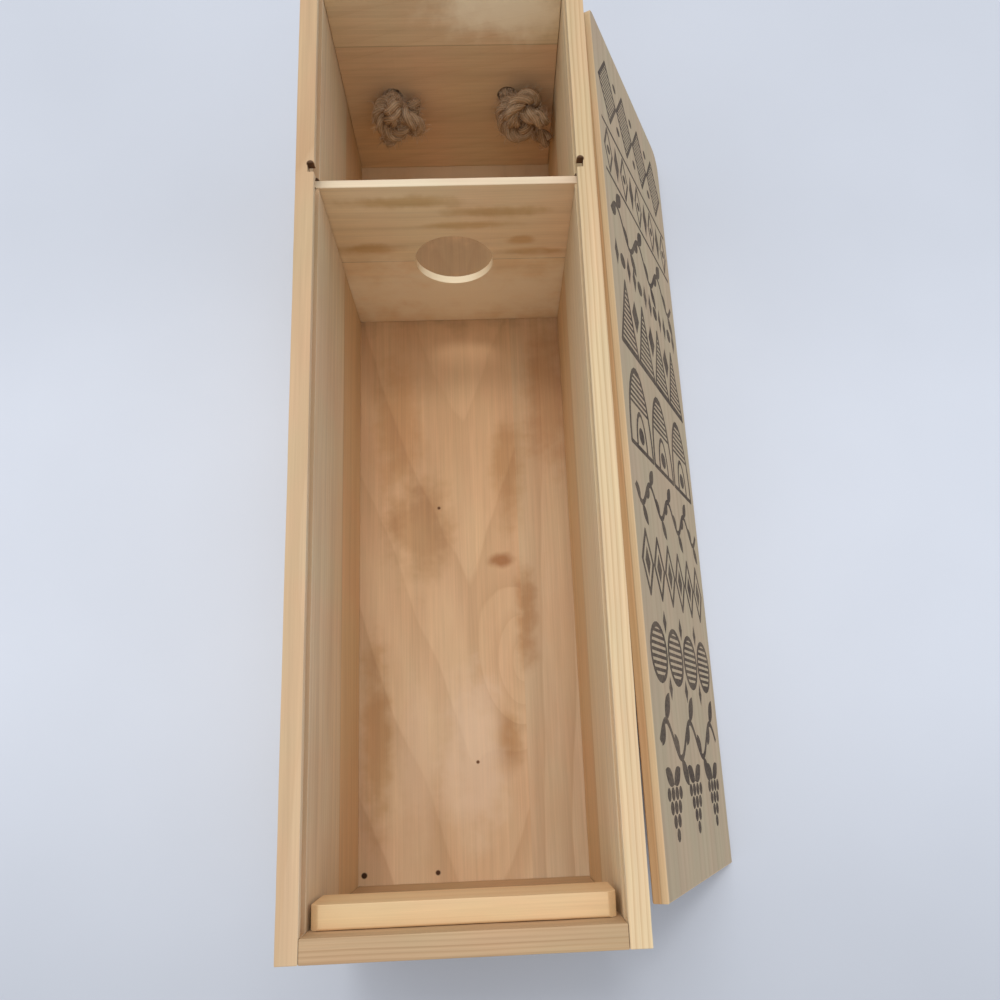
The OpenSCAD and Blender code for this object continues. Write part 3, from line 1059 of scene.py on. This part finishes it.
class WINEBOX_OT_boards(bpy.types.Operator):
    """Build the boards, the divider and the foot block"""

    bl_idname = "winebox.boards"
    bl_label = "Boards"

    def execute(self, context):
        settings = context.scene.winebox_boards
        left = wood_material(
            "left_board_wood", pith=(-0.070, -0.10), lean=(0.0, 0.02), ring=0.0034, wander=0.012,
            early="D8B995", late="BE966C", contrast=0.35, seam=("w", 0.0472),
            # The face colours paint light: the board's faces along X are paler and less orange, as if lit by
            # whiter light.
            face=("X", "EEDFC6", "D8BC98"), lower="F8E8D6", cloud=0.3, stain="D6AE86", fibre=0.06,
            # The grade paints shade: the board dims toward the head end.
            streak=0.08, seed=1.3, grade=(-0.03, 0.10, "FFFFFF", "F4F0EA"),
            # The spot paints the shade inside the notch at the groove's start dark.
            spots=((-0.0487, 0.0873, 0.0011, 0.0004, "5E4028"),),
        )
        right = wood_material(
            "right_board_wood", pith=(0.16, 0.12), lean=(0.0, 0.01), ring=0.0017, wander=0.0035,
            early="EACFA8", late="BA9062", contrast=0.62, seam=("w", 0.0472),
            # The face colours paint light: the board's faces along X are paler and less orange, as if lit by
            # whiter light.
            face=("X", "F0DEC0", "DABC94"), lower="F6E8D8", cloud=0.25, stain="DBB88E", fibre=0.07,
            # The grade paints shade: the board dims toward the head end.
            streak=0.08, seed=4.1, grade=(-0.02, 0.10, "FFFFFF", "EEEAE4"),
            # The spot paints the shade inside the notch at the groove's start dark.
            spots=((0.0487, 0.0873, 0.0011, 0.0004, "5E4028"),),
        )
        panel = wood_material(
            "panel_wood", washes=(
                (0.002, -0.120, 0.014, 0.035, "EFD6BC", 0.5), (-0.022, -0.125, 0.008, 0.030, "EBCFB0", 0.4),
                (0.0, 0.170, 0.070, 0.018, "F2D8B4", 0.8),
            ), pith=(-0.11, 0.046), lean=(0.03, 0.03), ring=0.0125, wander=0.016, ripple=0.0012,
            early="E8C8A2", late="B08660", contrast=0.42, cloud=0.5, stain="CDA27A", fibre=0.07,
            # The grade is partly the floor's own tone and partly painted shade: cooler toward the foot,
            # warmer and darker orange toward the divider.
            streak=0.05, hue=0.5, seed=0.0, grade=(-0.15, 0.09, "FAFCFF", "FFF4E8"), seam=("v", 0.0240),
            joint=0.99, upper="F4F8FC",
            arch=dict(
                apex=(0.0011, -0.047), blunt=0.0012, slope=2.87, pitch=0.074, wander=0.75, ripple=0.12,
                hills=((0.0255, -0.083, 0.0150, 0.0285, 3.7),),
            ),
            patches=(
                (0.040, 0.045, 0.010, 0.040, "D9B890", 0.5), (0.0155, -0.036, 0.006, 0.0035, "C09A76", 0.8),
                (-0.030, 0.030, 0.012, 0.040, "E6D2B8", 0.6), (-0.020, -0.020, 0.014, 0.024, "D6C8B4", 0.7),
                (-0.040, -0.110, 0.007, 0.040, "DAC4A4", 0.7), (0.016, -0.115, 0.006, 0.014, "D0B48C", 0.7),
                (0.020, 0.006, 0.008, 0.030, "DAC4A4", 0.6), (0.026, -0.060, 0.005, 0.022, "CCA880", 0.7),
                (0.0, 0.112, 0.080, 0.030, "D6D8D6", 1.0),
            ),
            spots=(
                (-0.0116, -0.0107, 0.0004, 0.0006, "6A4428"), (0.0028, -0.1237, 0.0004, 0.0006, "6A4428"),
                (-0.0449, -0.1670, 0.0009, 0.0006, "3A2412"), (-0.0148, -0.1671, 0.0007, 0.0006, "4A2C16"),
            ),
        )
        foot = wood_material(
            "foot_board_wood", grain="X", pith=(-0.30, 0.10), ring=0.0015, wander=0.003,
            early="C8A884", late="A47E58", contrast=0.55, cloud=0.2, stain="BE9A74", fibre=0.08, streak=0.1,
            seed=2.2,
        )
        head = wood_material(
            "head_board_wood", grain="X", pith=(0.20, 0.16), lean=(0.0, 0.22), ring=0.0060, wander=0.016,
            early="EBCFAA", late="C8A27A", contrast=0.2, seam=("w", 0.0765), upper="FBFAF6",
            lower="F6F0EA", jump=(0.5, 0.01, 0.07), plane="XZ",
            # The wash paints a patch of light on the head board's upper right.
            washes=((0.024, 0.0945, 0.031, 0.015, "FFEDCC", 1.0),),
            cloud=0.45, stain="D6AE88", fibre=0.06, streak=0.07, seed=7.7,
        )
        block = wood_material(
            "foot_block_wood", grain="X", pith=(-0.16, -0.06), ring=0.011, wander=0.012,
            early="EDCCA0", late="DCB080", contrast=0.35, cloud=0.3, stain="E4BA8A", fibre=0.05, streak=0.06,
            seed=5.5,
        )
        divider = wood_material(
            "divider_wood", grain="X", pith=(0.013, 0.030), lean=(0.02, 0.05), ring=0.0085, wander=0.034,
            early="F4DAB4", late="D2B084", contrast=0.2, plane="XZ",
            patches=(
                (-0.020, 0.090, 0.024, 0.0040, "DCCDB0", 0.8), (0.016, 0.084, 0.022, 0.0034, "DCCEB2", 0.8),
                (-0.036, 0.062, 0.014, 0.0036, "DCC8AA", 0.8), (0.028, 0.066, 0.006, 0.0026, "E0C8A8", 0.7),
                (0.004, 0.076, 0.018, 0.0024, "E6D8BC", 0.7), (0.034, 0.058, 0.014, 0.0026, "E2CEB0", 0.7),
            ),
            # The wash paints light on the divider's lower part: light thrown up from the floor.
            washes=((0.0, 0.028, 0.070, 0.024, "FFF0D0", 0.85),), seam=("w", 0.0532),
            # The face colours paint a highlight: the divider's top face is paler, as lit from above.
            face=("Z", "F2DFC4", "EACFAA"), face_above=0.0975, lower="FFFAF4", jump=(0.4, 0.01, 0.03),
            cloud=0.3, stain="D2AC7C", fibre=0.05, streak=0.07, seed=3.4,
        )
        bevel, wobble = settings.bevel, settings.wobble
        softened("left_side_board", "left_board", left, "Y", bevel, wobble)
        softened("right_side_board", "right_board", right, "Y", bevel, wobble)
        softened("back_panel", "floor_panel", panel, "Y", bevel, wobble)
        softened("foot_board", "foot_end_board", foot, "X", bevel, wobble)
        softened("head_board", "head_end_board", head, "X", bevel, wobble)
        softened("foot_block", "foot_rest", block, "X", bevel, wobble)
        softened("divider", "neck_divider", divider, "X", bevel, wobble)
        return {"FINISHED"}


class WINEBOX_OT_lid(bpy.types.Operator):
    """Build the printed lid"""

    bl_idname = "winebox.lid"
    bl_label = "Lid"

    def execute(self, context):
        spec = dict(
            source="lid_place", grain="Y", pith=(0.06, -0.075), lean=(0.03, 0.02), ring=0.0058, wander=0.022,
            early="BDA98D", late="A28B70", contrast=0.45, cloud=0.3, stain="AE9A80", fibre=0.05, streak=0.06,
            seed=9.1,
        )
        edge = wood_material(
            "lid_edge_wood", source="lid_place", grain="Y", pith=(0.05, -0.30), ring=0.0021, wander=0.0012,
            early="E2C6A0", late="B89468", contrast=0.6, cloud=0.35, stain="D0AC84", fibre=0.06, streak=0.1,
            seed=6.3, seam=("w", 0.0031), joint=0.8, jump=(0.3, 0.004, 0.0012), lower="E6D2C0",
        )
        wood = wood_material("lid_wood", **spec)
        ink = printed_material("lid_print", **spec)
        build_lid(context.scene.winebox_lid, wood, ink, edge)
        return {"FINISHED"}


class WINEBOX_OT_rope(bpy.types.Operator):
    """Build the rope handle and its two knots"""

    bl_idname = "winebox.rope"
    bl_label = "Rope"

    def execute(self, context):
        settings = context.scene.winebox_rope
        jute = jute_material("jute")
        hair = hair_material("jute_hair")
        twist, fuzz = rope_tree(), fuzz_tree()

        def rope(name, line, radius, lay, sides):
            values = {"Rope radius": radius, "Lay length": lay, "Strand sides": sides, "Material": jute}
            mesh = through_nodes(name, line_mesh(name + "_line", line), twist, values)
            for polygon in mesh.polygons:
                polygon.use_smooth = True
            return add_mesh(name, mesh, None)

        def hairs(name, source, density, length, seed):
            values = {"Density": density, "Hair length": length, "Seed": seed, "Material": hair}
            mesh = through_nodes(name, source.data.copy(), fuzz, values)
            return add_mesh(name, mesh, None)

        route = handle_route()
        handle = rope("rope_loop", route, settings.radius, settings.lay, 12)
        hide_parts("rope_handle")
        left_entry = Vector((-HOLE_X, ENTRY_Y, HOLE_Z))
        right_entry = Vector((HOLE_X, ENTRY_Y, HOLE_Z))
        left = rope(
            "knot_at_left",
            knot_route(
                Vector((-0.0227, 0.1608, 0.0492)), left_entry, Vector((-0.0305, 0.1575, 0.0375)), 1.2, 1.0
            ),
            settings.knot_radius, settings.lay * 0.8, 12,
        )
        right = rope(
            "knot_at_right",
            knot_route(
                Vector((0.0325, 0.1608, 0.0485)), right_entry, Vector((0.0450, 0.1580, 0.0360)), -0.5, 1.04
            ),
            settings.knot_radius, settings.lay * 0.8, 12,
        )
        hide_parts("left_knot")
        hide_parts("right_knot")
        handle_fuzz = hairs("rope_loop_fuzz", handle, 110000.0, settings.hair * 0.55, 3)
        hairs("left_knot_fuzz", left, 340000.0, settings.hair, 5)
        hairs("right_knot_fuzz", right, 340000.0, settings.hair, 8)
        return {"FINISHED"}


class WINEBOX_OT_nails(bpy.types.Operator):
    """Give the nails their finish"""

    bl_idname = "winebox.nails"
    bl_label = "Nails"

    def execute(self, context):
        steel = steel_material("nail_steel")
        for name in ("side_nails", "back_nails"):
            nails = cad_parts[name]
            nails.data.materials.clear()
            nails.data.materials.append(steel)
        return {"FINISHED"}


class WINEBOX_PT_panel(bpy.types.Panel):
    bl_label = "Wine Box"
    bl_idname = "WINEBOX_PT_panel"
    bl_space_type = "VIEW_3D"
    bl_region_type = "UI"
    bl_category = "Wine Box"

    def draw(self, context):
        layout = self.layout
        for group in ("winebox_boards", "winebox_lid", "winebox_rope", "winebox_stage"):
            settings = getattr(context.scene, group)
            box = layout.box()
            for key in settings.__annotations__:
                box.prop(settings, key)
        for operator in (
            WINEBOX_OT_stage, WINEBOX_OT_boards, WINEBOX_OT_lid, WINEBOX_OT_rope, WINEBOX_OT_nails
        ):
            layout.operator(operator.bl_idname)


CLASSES = (
    BoardSettings, LidSettings, RopeSettings, StageSettings, WINEBOX_OT_stage, WINEBOX_OT_boards,
    WINEBOX_OT_lid, WINEBOX_OT_rope, WINEBOX_OT_nails, WINEBOX_PT_panel,
)


def register():
    for cls in CLASSES:
        bpy.utils.register_class(cls)
    scene = bpy.types.Scene
    scene.winebox_boards = bpy.props.PointerProperty(type=BoardSettings)
    scene.winebox_lid = bpy.props.PointerProperty(type=LidSettings)
    scene.winebox_rope = bpy.props.PointerProperty(type=RopeSettings)
    scene.winebox_stage = bpy.props.PointerProperty(type=StageSettings)


def unregister():
    for name in ("winebox_boards", "winebox_lid", "winebox_rope", "winebox_stage"):
        delattr(bpy.types.Scene, name)
    for cls in reversed(CLASSES):
        bpy.utils.unregister_class(cls)


def main():
    register()
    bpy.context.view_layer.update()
    bpy.ops.winebox.stage()
    bpy.ops.winebox.rope()
    bpy.ops.winebox.boards()
    bpy.ops.winebox.lid()
    bpy.ops.winebox.nails()


if __name__ == "__main__":
    main()
